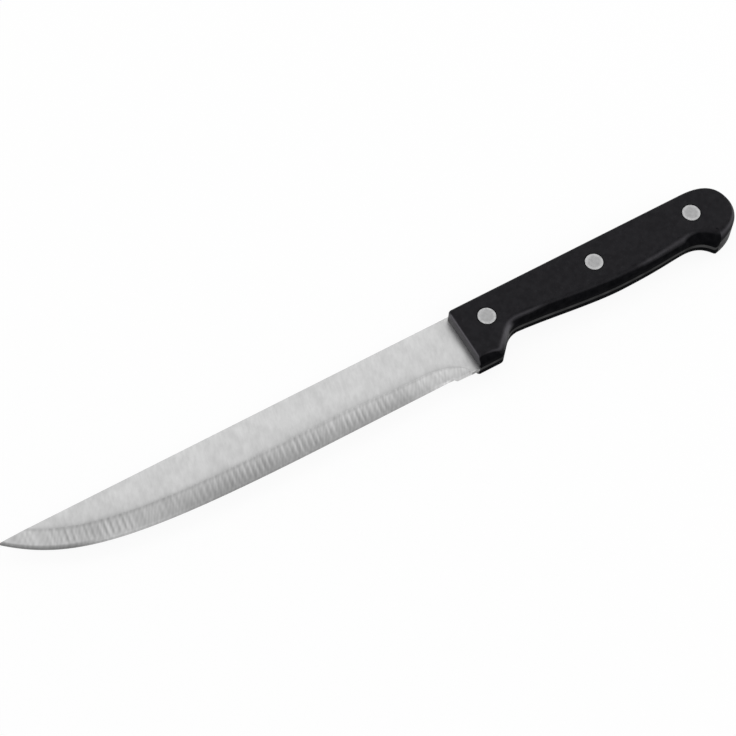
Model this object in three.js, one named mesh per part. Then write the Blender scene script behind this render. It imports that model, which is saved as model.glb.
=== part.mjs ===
// Carving knife with a full tang: one steel blade and tang, two moulded handle scales,
// and three two-piece compression rivets that clamp the scales to the tang.
// Millimetres. The knife lies on its side: +X runs from the tip to the butt,
// +Y from the cutting edge to the spine, and +Z is up. The outlines are drawn with
// x = 0 at the tip, y = 0 along the spine and z = 0 in the middle of the steel.
import * as THREE from 'three';
import { mergeVertices } from 'three/addons/utils/BufferGeometryUtils.js';

// Steel
const STOCK_THICKNESS = 1.8;
const BLADE_LENGTH = 194.6;
const EDGE_DEPTH = 24.6;
const HEEL_DEPTH = 25.6;
const HEEL_LENGTH = 11.5;
const HEEL_STEP = 0.9;
const TIP_DROP = 0.6;

// Sweep of the cutting edge, from the tip to its straight part
const SWEEP_LENGTH = 130;
const SWEEP_TIP_ANGLE = THREE.MathUtils.degToRad(42.7);
const SWEEP_TIP_PULL = 28.3;
const SWEEP_EDGE_PULL = 85.7;

// Ground bevel and its flutes
const BEVEL_HEIGHT = 8.4;
const BEVEL_HEEL_HEIGHT = 6.2;
const BEVEL_NARROWING = 36;
const BEVEL_END_ROUND = 5;
const CUTTING_BEVEL_HEIGHT = 0.7;
const CUTTING_BEVEL_THICKNESS = 0.44;
const EDGE_LAND = 0.08;
const FLUTE_PITCH = 2.4;
const FLUTE_DEPTH = 0.09;
const FLUTE_ARCH = 0.6;
const FLUTE_SPINE_LIP = 0.2;
const FLUTE_SLANT = THREE.MathUtils.degToRad(10);
const FLUTE_STEPS = 4;

// Handle outline: reach back from the handle's front or to its butt, and depth below the spine
const HANDLE_LENGTH = 125.4;
const FRONT_SLANT = THREE.MathUtils.degToRad(1.2);
const GUARD_REACH = 10.35;
const GRIP_REACH = 18.7;
const GRIP_DEPTH = 16.9;
const GRIP_FILLET = 4;
const GRIP_SLOPE = THREE.MathUtils.degToRad(3);
const GRIP_PULL = 14;
const SWELL_REACH = 69;
const SWELL_DEPTH = 21.2;
const SWELL_FRONT_PULL = 14;
const SWELL_REAR_PULL = 20;
const WAIST_TO_HOOK = 10.4;
const WAIST_DEPTH = 20.1;
const WAIST_PULL = 7;
const HOOK_HOLLOW_PULL = 6.5;
const HOOK_TO_BUTT = 15.2;
const HOOK_DEPTH = 25.5;
const HOOK_ANGLE = THREE.MathUtils.degToRad(55);
const HOOK_INNER_PULL = 3;
const HOOK_OUTER_PULL = 2.3;
const BUTT_DEPTH = 12.4;
const BUTT_LOWER_PULL = 10.3;
const BUTT_UPPER_PULL = 8.4;
const BUTT_TOP_SETBACK = 15.9;
const BUTT_TOP_PULL = 11;

// Handle section
const SCALE_THICKNESS = 5.4;
const FRONT_ROUND = 1.2;
const GUARD_ROUND = 3.2;
const WALL_ROUND = 1.8;
const GRIP_ROUND = 3.8;
const SWELL_ROUND = 3.2;
const WAIST_ROUND = 4.2;
const HOOK_INNER_ROUND = 4.2;
const HOOK_OUTER_ROUND = 2.4;
const BUTT_ROUND = 1.8;
const TOP_ROUND = 1.2;
const ROUND_STEPS = 6;
const CURVE_STEPS = 9;

// Rivets: a socket half with a tube, and a pin half that is pressed into it
const RIVET_DEPTH = 9.4;
const FRONT_RIVET_REACH = 12.2;
const MIDDLE_RIVET_REACH = 62.1;
const REAR_RIVET_TO_BUTT = 16.9;
const HEAD_RADIUS = 3.65;
const HEAD_THICKNESS = 1.6;
const HEAD_CHAMFER = 0.15;
const TUBE_RADIUS = 2.5;
const PIN_RADIUS = 1.6;
const PIN_CHAMFER = 0.3;
const TUBE_END_GAP = 0.8;
const BORE_END_WALL = 1.2;
const PIN_END_GAP = 0.6;
const HEAD_CLEARANCE = 0.05;
const TUBE_CLEARANCE = 0.06;
const PIN_CLEARANCE = 0.03;
const ROUND_SIDES = 24;

// Values that follow from those above
const HALF_STOCK = STOCK_THICKNESS / 2;
const SCALE_FACE = HALF_STOCK + SCALE_THICKNESS;
const HEAD_SEAT = SCALE_FACE - HEAD_THICKNESS;
const EDGE_END = BLADE_LENGTH - HEEL_LENGTH;
const HOOK_REACH = HANDLE_LENGTH - HOOK_TO_BUTT;
const WAIST_REACH = HOOK_REACH - WAIST_TO_HOOK;
const BUTT_TOP_REACH = HANDLE_LENGTH - BUTT_TOP_SETBACK;
const RIVETS = [
  { name: 'front', reach: FRONT_RIVET_REACH },
  { name: 'middle', reach: MIDDLE_RIVET_REACH },
  { name: 'rear', reach: HANDLE_LENGTH - REAR_RIVET_TO_BUTT },
];
const MERGE_DISTANCE = 1e-4;

/** Triangles gathered from rows of points, closed into one solid by their shared corners. */
class Skin {
  constructor() {
    this.corners = [];
  }

  /** One triangle, left out where two of its corners are the same point. */
  triangle(a, b, c) {
    const shortest = Math.min(a.distanceTo(b), b.distanceTo(c), c.distanceTo(a));
    if (shortest < MERGE_DISTANCE) return;
    for (const point of [a, b, c]) this.corners.push(point.x, point.y, point.z);
  }

  /** A band between two rows of equal length, facing out where the first row is the lower one. */
  band(lower, upper, closed) {
    const last = closed ? lower.length : lower.length - 1;
    for (let i = 0; i < last; i += 1) {
      const next = (i + 1) % lower.length;
      this.triangle(lower[i], lower[next], upper[next]);
      this.triangle(lower[i], upper[next], upper[i]);
    }
  }

  /** A flat face inside an outline, with holes, facing up or down. */
  face(outline, holes, facesUp) {
    const flat = (loop) => loop.map((point) => new THREE.Vector2(point.x, point.y));
    const points = [outline, ...holes].flat();
    for (const [i, j, k] of THREE.ShapeUtils.triangulateShape(flat(outline), holes.map(flat))) {
      const turn = THREE.ShapeUtils.area([points[i], points[j], points[k]]);
      if (turn > 0 === facesUp) this.triangle(points[i], points[j], points[k]);
      else this.triangle(points[i], points[k], points[j]);
    }
  }

  /** The same skin mirrored in the middle plane of the steel. */
  mirrored() {
    const other = new Skin();
    for (let i = 0; i < this.corners.length; i += 9) {
      for (const j of [6, 3, 0]) {
        other.corners.push(this.corners[i + j], this.corners[i + j + 1], -this.corners[i + j + 2]);
      }
    }
    return other;
  }

  /** Adds every triangle of another skin. */
  join(other) {
    for (const value of other.corners) this.corners.push(value);
  }

  /** The finished geometry, with shared corners merged. */
  geometry() {
    const loose = new THREE.BufferGeometry();
    loose.setAttribute('position', new THREE.Float32BufferAttribute(this.corners, 3));
    const solid = mergeVertices(loose, MERGE_DISTANCE);
    solid.computeVertexNormals();
    return solid;
  }
}

/** The points of a loop or row, all at one height. */
function atHeight(points, z) {
  return points.map((point) => new THREE.Vector3(point.x, point.y, z));
}

/** The points of a loop or row, mirrored in the middle plane of the steel. */
function below(points) {
  return points.map((point) => new THREE.Vector3(point.x, point.y, -point.z));
}

/** A round loop about a rivet's axis, with the same corners as the turned rivet pieces. */
function roundLoop(rivet, radius, z) {
  return Array.from({ length: ROUND_SIDES }, (_, i) => {
    const angle = (2 * Math.PI * i) / ROUND_SIDES;
    const x = BLADE_LENGTH + rivet.reach + radius * Math.sin(angle);
    return new THREE.Vector3(x, -RIVET_DEPTH - radius * Math.cos(angle), z);
  });
}

/**
 * Outline of the handle from the front's upper corner round to the top line, with its edge rounding.
 * The heel of the hook starts some way behind the hook's point where a rounding has taken the rest.
 */
function handleOutline(heelTaken = 0) {
  const at = (reach, depth) => new THREE.Vector2(BLADE_LENGTH + reach, -depth);
  const along = (point, toward, distance) => {
    return toward.clone().sub(point).normalize().multiplyScalar(distance).add(point);
  };
  const outline = [];
  const corner = (point, before, after) => outline.push({ point, before, after });
  const bend = (curve, firstRound, lastRound, taken = 0) => {
    for (let i = 1; i <= CURVE_STEPS; i += 1) {
      const share = i / CURVE_STEPS;
      const round = THREE.MathUtils.lerp(firstRound, lastRound, share);
      const point = curve.getPointAt(THREE.MathUtils.lerp(taken / curve.getLength(), 1, share));
      corner(point, round, round);
    }
  };
  const cubic = (start, startPull, endPull, end) => {
    return new THREE.CubicBezierCurve(start, startPull, endPull, end);
  };

  const guardFoot = at(GUARD_REACH, HEEL_DEPTH);
  const gripCorner = at(GRIP_REACH, GRIP_DEPTH);
  const gripLine = at(GRIP_REACH + Math.cos(GRIP_SLOPE), GRIP_DEPTH + Math.sin(GRIP_SLOPE));
  const wallEnd = along(gripCorner, guardFoot, GRIP_FILLET);
  const gripStart = along(gripCorner, gripLine, GRIP_FILLET);
  const gripPull = along(gripCorner, gripLine, GRIP_FILLET + GRIP_PULL);
  const swell = at(SWELL_REACH, SWELL_DEPTH);
  const swellFrontPull = at(SWELL_REACH - SWELL_FRONT_PULL, SWELL_DEPTH);
  const swellRearPull = at(SWELL_REACH + SWELL_REAR_PULL, SWELL_DEPTH);
  const waist = at(WAIST_REACH, WAIST_DEPTH);
  const waistPull = at(WAIST_REACH - WAIST_PULL, WAIST_DEPTH);
  const hollowPull = at(WAIST_REACH + HOOK_HOLLOW_PULL, WAIST_DEPTH);
  const hook = at(HOOK_REACH, HOOK_DEPTH);
  const hookInnerPull = at(
    HOOK_REACH - HOOK_INNER_PULL * Math.cos(HOOK_ANGLE),
    HOOK_DEPTH - HOOK_INNER_PULL * Math.sin(HOOK_ANGLE),
  );
  const hookOuterPull = at(HOOK_REACH + HOOK_OUTER_PULL, HOOK_DEPTH);
  const butt = at(HANDLE_LENGTH, BUTT_DEPTH);
  const buttLowerPull = at(HANDLE_LENGTH, BUTT_DEPTH + BUTT_LOWER_PULL);
  const buttUpperPull = at(HANDLE_LENGTH, BUTT_DEPTH - BUTT_UPPER_PULL);
  const buttTop = at(BUTT_TOP_REACH, 0);
  const buttTopPull = at(BUTT_TOP_REACH + BUTT_TOP_PULL, 0);

  corner(at(0, 0), TOP_ROUND, FRONT_ROUND);
  corner(at(-HEEL_DEPTH * Math.tan(FRONT_SLANT), HEEL_DEPTH), FRONT_ROUND, GUARD_ROUND);
  corner(guardFoot, GUARD_ROUND, WALL_ROUND);
  corner(wallEnd, WALL_ROUND, WALL_ROUND);
  bend(new THREE.QuadraticBezierCurve(wallEnd, gripCorner, gripStart), WALL_ROUND, GRIP_ROUND);
  bend(cubic(gripStart, gripPull, swellFrontPull, swell), GRIP_ROUND, SWELL_ROUND);
  bend(cubic(swell, swellRearPull, waistPull, waist), SWELL_ROUND, WAIST_ROUND);
  bend(cubic(waist, hollowPull, hookInnerPull, hook), WAIST_ROUND, HOOK_INNER_ROUND);
  outline.at(-1).after = HOOK_OUTER_ROUND;
  bend(cubic(hook, hookOuterPull, buttLowerPull, butt), HOOK_OUTER_ROUND, BUTT_ROUND, heelTaken);
  bend(cubic(butt, buttUpperPull, buttTopPull, buttTop), BUTT_ROUND, TOP_ROUND);
  return outline;
}

/** Stations along the cutting edge: the edge point, the height of the bevel and the flute's arch. */
function edgeStations() {
  const tip = new THREE.Vector2(0, -TIP_DROP);
  const straight = new THREE.Vector2(SWEEP_LENGTH, -EDGE_DEPTH);
  const tipPull = new THREE.Vector2(
    SWEEP_TIP_PULL * Math.cos(SWEEP_TIP_ANGLE),
    -TIP_DROP - SWEEP_TIP_PULL * Math.sin(SWEEP_TIP_ANGLE),
  );
  const edgePull = new THREE.Vector2(SWEEP_LENGTH - SWEEP_EDGE_PULL, -EDGE_DEPTH);
  const edge = new THREE.CurvePath();
  edge.add(new THREE.CubicBezierCurve(tip, tipPull, edgePull, straight));
  edge.add(new THREE.LineCurve(straight, new THREE.Vector2(EDGE_END, -EDGE_DEPTH)));
  const flutes = Math.round(edge.getLength() / FLUTE_PITCH);
  const roundStart = EDGE_END - BEVEL_END_ROUND;

  return edge.getSpacedPoints(flutes * FLUTE_STEPS).map((point, i) => {
    const narrowing = THREE.MathUtils.smoothstep(point.x, roundStart - BEVEL_NARROWING, roundStart);
    const turn = THREE.MathUtils.clamp((point.x - roundStart) / BEVEL_END_ROUND, 0, 1);
    const height = THREE.MathUtils.lerp(BEVEL_HEIGHT, BEVEL_HEEL_HEIGHT, narrowing);
    const arch = Math.abs(Math.sin((Math.PI * i) / FLUTE_STEPS));
    return { point, bevel: height * Math.sqrt(1 - turn * turn), arch };
  });
}

/** Rows of the bevel's upper side, from the grind line down to the edge, and where it leaves the spine. */
function bevelRows() {
  const rows = [[], [], [], []];
  const halfLand = EDGE_LAND / 2;
  const halfCut = CUTTING_BEVEL_THICKNESS / 2;
  let leavesSpine = -1;

  edgeStations().forEach(({ point, bevel, arch }, i) => {
    const depth = -point.y;
    const spare = depth - bevel;
    const first = spare > 0 && leavesSpine < 0;
    if (first) leavesSpine = i;
    const onSpine = spare <= 0 || first;
    const archHeight = Math.min(FLUTE_ARCH, bevel, Math.max(0, spare - FLUTE_SPINE_LIP));
    const top = onSpine ? depth : bevel + archHeight * arch;
    const cut = Math.min(CUTTING_BEVEL_HEIGHT, top / 2);
    const middle = (cut + top) / 2;
    const thickness = (height) => {
      const up = THREE.MathUtils.clamp((height - cut) / (bevel - cut), 0, 1);
      const fade = 4 * up * (1 - up);
      return THREE.MathUtils.lerp(halfCut, HALF_STOCK, up) - FLUTE_DEPTH * arch * fade;
    };
    const place = (height, z) => {
      const x = point.x + height * Math.tan(FLUTE_SLANT);
      return new THREE.Vector3(x, point.y + height, z);
    };
    const ends = bevel < MERGE_DISTANCE;
    rows[0].push(place(top, ends || first ? HALF_STOCK : Math.min(HALF_STOCK, thickness(top))));
    rows[1].push(place(middle, ends ? HALF_STOCK : thickness(middle)));
    rows[2].push(place(cut, ends ? HALF_STOCK : Math.min(halfCut, thickness(top))));
    rows[3].push(place(0, ends ? HALF_STOCK : halfLand));
  });
  return { rows, leavesSpine };
}

/** Blade and tang: sheet steel with rivet holes, ground on both sides to a fluted bevel. */
function bladeGeometry() {
  const { rows, leavesSpine } = bevelRows();
  const [grindLine, , , edge] = rows;
  const heelCorner = new THREE.Vector2(EDGE_END + HEEL_STEP, -HEEL_DEPTH);
  const tangOutline = handleOutline().slice(2).map(({ point }) => point);
  const behindEdge = atHeight([heelCorner, ...tangOutline], HALF_STOCK);
  const tipEnd = rows.slice(1, 3).map((row) => row[0]);
  const spineToTip = grindLine.slice(0, leavesSpine + 1).reverse();
  const holes = RIVETS.map((rivet) => roundLoop(rivet, TUBE_RADIUS + TUBE_CLEARANCE, HALF_STOCK));

  const side = new Skin();
  for (let i = 0; i + 1 < rows.length; i += 1) side.band(rows[i + 1], rows[i], false);
  side.face([...grindLine.slice(leavesSpine), ...behindEdge], holes, true);

  const solid = new Skin();
  solid.join(side);
  solid.join(side.mirrored());
  const rim = [...edge, ...behindEdge, ...spineToTip, ...tipEnd];
  solid.band(below(rim), rim, true);
  for (const hole of holes) solid.band(hole, below(hole), true);
  return solid.geometry();
}

/** How far a rounded edge has drawn in at a height, from its rounding radius. */
function drawnIn(round, z) {
  const climb = Math.max(0, z - (SCALE_FACE - round));
  return round - Math.sqrt(Math.max(0, round * round - climb * climb));
}

/** How much of the hook's heel the deeper rounding of its inner side has taken at a height. */
function heelTakenAt(z) {
  const inner = drawnIn(HOOK_INNER_ROUND, z);
  const outer = drawnIn(HOOK_OUTER_ROUND, z);
  return Math.max(0, (inner - outer * Math.cos(HOOK_ANGLE)) / Math.sin(HOOK_ANGLE));
}

/** The scale's outline at a height: each side drawn in by its own rounding, and mitred at the corners. */
function scaleLoop(z) {
  const outline = handleOutline(heelTakenAt(z));
  const into = (from, to) => new THREE.Vector2(from.y - to.y, to.x - from.x).normalize();
  return outline.map(({ point, before, after }, i) => {
    const first = into(outline.at(i - 1).point, point);
    const second = into(point, outline[(i + 1) % outline.length].point);
    const turn = first.dot(second);
    const firstInset = drawnIn(before, z);
    const secondInset = drawnIn(after, z);
    const inset = first.clone().add(second);
    inset.multiplyScalar((firstInset + secondInset) / 2 / (1 + turn));
    if (before !== after) {
      inset.addScaledVector(first.sub(second), (firstInset - secondInset) / 2 / (1 - turn));
    }
    return new THREE.Vector3(point.x + inset.x, point.y + inset.y, z);
  });
}

/** One moulded scale on the upper side: flat against the tang, with rounded edges and rivet seats. */
function scaleSkin() {
  const tubeRadius = TUBE_RADIUS + TUBE_CLEARANCE;
  const headRadius = HEAD_RADIUS + HEAD_CLEARANCE;
  const deepestRound = Math.max(...handleOutline().map(({ before, after }) => Math.max(before, after)));

  const skin = new Skin();
  const innerLoop = scaleLoop(HALF_STOCK);
  let loop = innerLoop;
  for (let i = 0; i <= ROUND_STEPS; i += 1) {
    const climb = Math.sin((Math.PI / 2) * (i / ROUND_STEPS));
    const next = scaleLoop(SCALE_FACE - deepestRound * (1 - climb));
    skin.band(loop, next, true);
    loop = next;
  }
  skin.face(innerLoop, RIVETS.map((rivet) => roundLoop(rivet, tubeRadius, HALF_STOCK)), false);
  skin.face(loop, RIVETS.map((rivet) => roundLoop(rivet, headRadius, SCALE_FACE)), true);
  for (const rivet of RIVETS) {
    const wall = [
      roundLoop(rivet, headRadius, SCALE_FACE),
      roundLoop(rivet, headRadius, HEAD_SEAT),
      roundLoop(rivet, tubeRadius, HEAD_SEAT),
      roundLoop(rivet, tubeRadius, HALF_STOCK),
    ];
    for (let i = 0; i + 1 < wall.length; i += 1) skin.band(wall[i], wall[i + 1], true);
  }
  return skin;
}

/** A piece turned about a rivet's axis from a profile of radius and height, listed upwards. */
function turned(rivet, profile) {
  const lathe = new THREE.LatheGeometry(profile.map(([r, z]) => new THREE.Vector2(r, z)), ROUND_SIDES);
  lathe.deleteAttribute('normal');
  lathe.deleteAttribute('uv');
  lathe.rotateX(Math.PI / 2);
  lathe.translate(BLADE_LENGTH + rivet.reach, -RIVET_DEPTH, 0);
  const points = lathe.toNonIndexed().getAttribute('position');
  const corner = (i) => new THREE.Vector3().fromBufferAttribute(points, i);
  const skin = new Skin();
  for (let i = 0; i < points.count; i += 3) skin.triangle(corner(i), corner(i + 1), corner(i + 2));
  return skin.geometry();
}

/** Socket half of a rivet: a flush head on the upper scale and a tube with a blind bore. */
function socketGeometry(rivet) {
  const bore = PIN_RADIUS + PIN_CLEARANCE;
  const tubeEnd = -HEAD_SEAT + TUBE_END_GAP;
  return turned(rivet, [
    [0, HEAD_SEAT - BORE_END_WALL],
    [bore, HEAD_SEAT - BORE_END_WALL],
    [bore, tubeEnd],
    [TUBE_RADIUS, tubeEnd],
    [TUBE_RADIUS, HEAD_SEAT],
    [HEAD_RADIUS, HEAD_SEAT],
    [HEAD_RADIUS, SCALE_FACE - HEAD_CHAMFER],
    [HEAD_RADIUS - HEAD_CHAMFER, SCALE_FACE],
    [0, SCALE_FACE],
  ]);
}

/** Pin half of a rivet: a flush head on the lower scale and a pin pressed into the socket's bore. */
function pinGeometry(rivet) {
  const pinEnd = HEAD_SEAT - BORE_END_WALL - PIN_END_GAP;
  return turned(rivet, [
    [0, -SCALE_FACE],
    [HEAD_RADIUS - HEAD_CHAMFER, -SCALE_FACE],
    [HEAD_RADIUS, -SCALE_FACE + HEAD_CHAMFER],
    [HEAD_RADIUS, -HEAD_SEAT],
    [PIN_RADIUS, -HEAD_SEAT],
    [PIN_RADIUS, pinEnd - PIN_CHAMFER],
    [PIN_RADIUS - PIN_CHAMFER, pinEnd],
    [0, pinEnd],
  ]);
}

/** A named mesh with its own material. */
function piece(name, geometry, finish) {
  const mesh = new THREE.Mesh(geometry, new THREE.MeshStandardMaterial(finish));
  mesh.name = name;
  return mesh;
}

const STEEL = { color: 0xc8c9ca, roughness: 0.38, metalness: 1 };
const BLACK_PLASTIC = { color: 0x232325, roughness: 0.55, metalness: 0 };
const ALUMINIUM = { color: 0xb2b3b4, roughness: 0.4, metalness: 1 };

const knife = new THREE.Group();
const scale = scaleSkin();
knife.add(piece('blade', bladeGeometry(), STEEL));
knife.add(piece('left_scale', scale.geometry(), BLACK_PLASTIC));
knife.add(piece('right_scale', scale.mirrored().geometry(), BLACK_PLASTIC));
for (const rivet of RIVETS) {
  knife.add(piece(`${rivet.name}_rivet_socket`, socketGeometry(rivet), ALUMINIUM));
  knife.add(piece(`${rivet.name}_rivet_pin`, pinGeometry(rivet), ALUMINIUM));
}

// The origin is under the middle of the knife, on the surface it lies on
const box = new THREE.Box3().setFromObject(knife);
const middle = box.getCenter(new THREE.Vector3());
knife.position.set(-middle.x, -middle.y, -box.min.z);

export default knife;
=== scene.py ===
"""Looks of a carving knife with a full tang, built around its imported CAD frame.

Shapes are worked out in millimetres, drawn as the knife's drawing is: x = 0 at the tip, y = 0 along
the spine and z = 0 in the middle of the steel. Shell.mesh moves them to the frame, in metres.
"""

import logging
import math
from dataclasses import dataclass
from enum import Enum
from typing import Any

import bpy
import numpy as np
from mathutils import Matrix, Vector
from mathutils.geometry import delaunay_2d_cdt
from numpy.typing import NDArray


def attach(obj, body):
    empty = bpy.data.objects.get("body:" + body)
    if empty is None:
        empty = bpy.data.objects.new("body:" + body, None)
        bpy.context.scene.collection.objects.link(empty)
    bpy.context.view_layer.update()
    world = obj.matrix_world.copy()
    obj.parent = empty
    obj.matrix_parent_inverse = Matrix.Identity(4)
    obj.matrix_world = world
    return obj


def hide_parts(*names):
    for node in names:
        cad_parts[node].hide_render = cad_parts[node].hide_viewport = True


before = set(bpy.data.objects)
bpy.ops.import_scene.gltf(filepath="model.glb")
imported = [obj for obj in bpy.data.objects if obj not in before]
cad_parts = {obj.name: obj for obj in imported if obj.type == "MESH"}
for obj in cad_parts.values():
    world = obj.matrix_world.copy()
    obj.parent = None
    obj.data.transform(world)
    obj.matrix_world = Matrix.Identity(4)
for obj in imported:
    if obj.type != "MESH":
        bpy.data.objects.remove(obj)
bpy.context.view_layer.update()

Floats = NDArray[np.float64]
Indices = NDArray[np.int64]
Pair = tuple[float, float]
Triple = tuple[float, float, float]

# A pair from a start to an end. Where the start is the larger, what eases over the span falls.
Span = Pair

LOG = logging.getLogger("carving_knife")
BODY = "root"
METRES = 0.001
WELD = 1e-4
TINY = 1e-6
MIRROR = np.array([1.0, 1.0, -1.0])
ALONG = np.array([1.0, 0.0])
UP = np.array([0.0, 1.0])

# What a flat face asks for: only the triangles inside its outline
INSIDE_ONLY = 1

# Where a curve is read when a place on it is looked up
WAY = np.linspace(0.0, 1.0, 400)

# Heights over the middle of the steel: its own faces, and the scales' outer faces
HALF_STOCK = 0.9
SCALE_FACE = 6.3

# All of a value's range, and the stretches in which noise has most of its values
WHOLE: Span = (0.0, 1.0)
CORE: Span = (0.3, 0.7)
INNER_CORE: Span = (0.35, 0.65)


class Side(Enum):
    """The two sides of the steel: the one that faces up, and the one that lies down."""

    UPPER = 1.0
    LOWER = -1.0


class Zone(Enum):
    """Parts of the steel that are coloured differently: the ground sides, and the tang's bare rim, which
    is painted nearly black as a painted dark reflection.
    """

    GROUND = 0.0
    TANG = 1.0


class Slot(Enum):
    """The record's material slots."""

    STEEL = "steel"
    PLASTIC = "black_plastic"
    RIVET = "rivet_metal"


# Curves and shells


def smooth_step(value: Floats, span: Span) -> Floats:
    """Eases from 0 at a span's start to 1 at its end: thrice the square of the way less twice its cube."""
    along = np.clip((value - span[0]) / (span[1] - span[0]), 0.0, 1.0)
    return along * along * (3.0 - 2.0 * along)


def unit(vector: Floats) -> Floats:
    """Vectors brought to a length of one."""
    return vector / np.linalg.norm(vector, axis=-1, keepdims=True)


def leftward(direction: Floats) -> Floats:
    """Directions turned left by a quarter turn, into a shape whose outline runs counter-clockwise."""
    return np.stack([-direction[..., 1], direction[..., 0]], axis=-1)


def dipping(angle: float) -> Floats:
    """The plan direction that dips by an angle from the knife's length."""
    return np.array([math.cos(angle), -math.sin(angle)])


def bezier(pulls: Floats, way: Floats) -> tuple[Floats, Floats]:
    """A Bezier curve: its control points, each weighted by a binomial number times powers of the
    way gone and of the way left.

    Args:
        pulls: the control points, from the start to the end.
        way: where to read the curve, from 0 at its start to 1 at its end.

    Returns:
        The points, and the curve's unit direction at each of them.
    """

    def weighted(points: Floats) -> Floats:
        """Weights a row of points.

        Args:
            points: the points, from the start to the end.

        Returns:
            Their weighted sum at each place on the way.
        """
        order = len(points) - 1
        k = np.arange(order + 1)
        choose = np.array([math.comb(order, int(i)) for i in k])
        return (choose * way[..., None] ** k * (1.0 - way[..., None]) ** (order - k)) @ points

    return weighted(pulls), unit(weighted(np.diff(pulls, axis=0)))


def run_along(points: Floats) -> Floats:
    """The length run along a row of points, from 0 at the first."""
    return np.concatenate([[0.0], np.cumsum(np.linalg.norm(np.diff(points, axis=0), axis=1))])


def circle(centre: Floats, radius: float, count: int) -> Floats:
    """Points round a circle, counter-clockwise: the centre plus the radius times cosine and sine."""
    turn = 2.0 * np.pi * np.arange(count) / count
    return centre + radius * np.stack([np.cos(turn), np.sin(turn)], axis=1)


def lifted(points: Floats, height: Floats | float) -> Floats:
    """Plan points at a height, as points in space."""
    tall = np.broadcast_to(np.asarray(height, float), points.shape[:-1])
    return np.concatenate([points, tall[..., None]], axis=-1)


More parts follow.
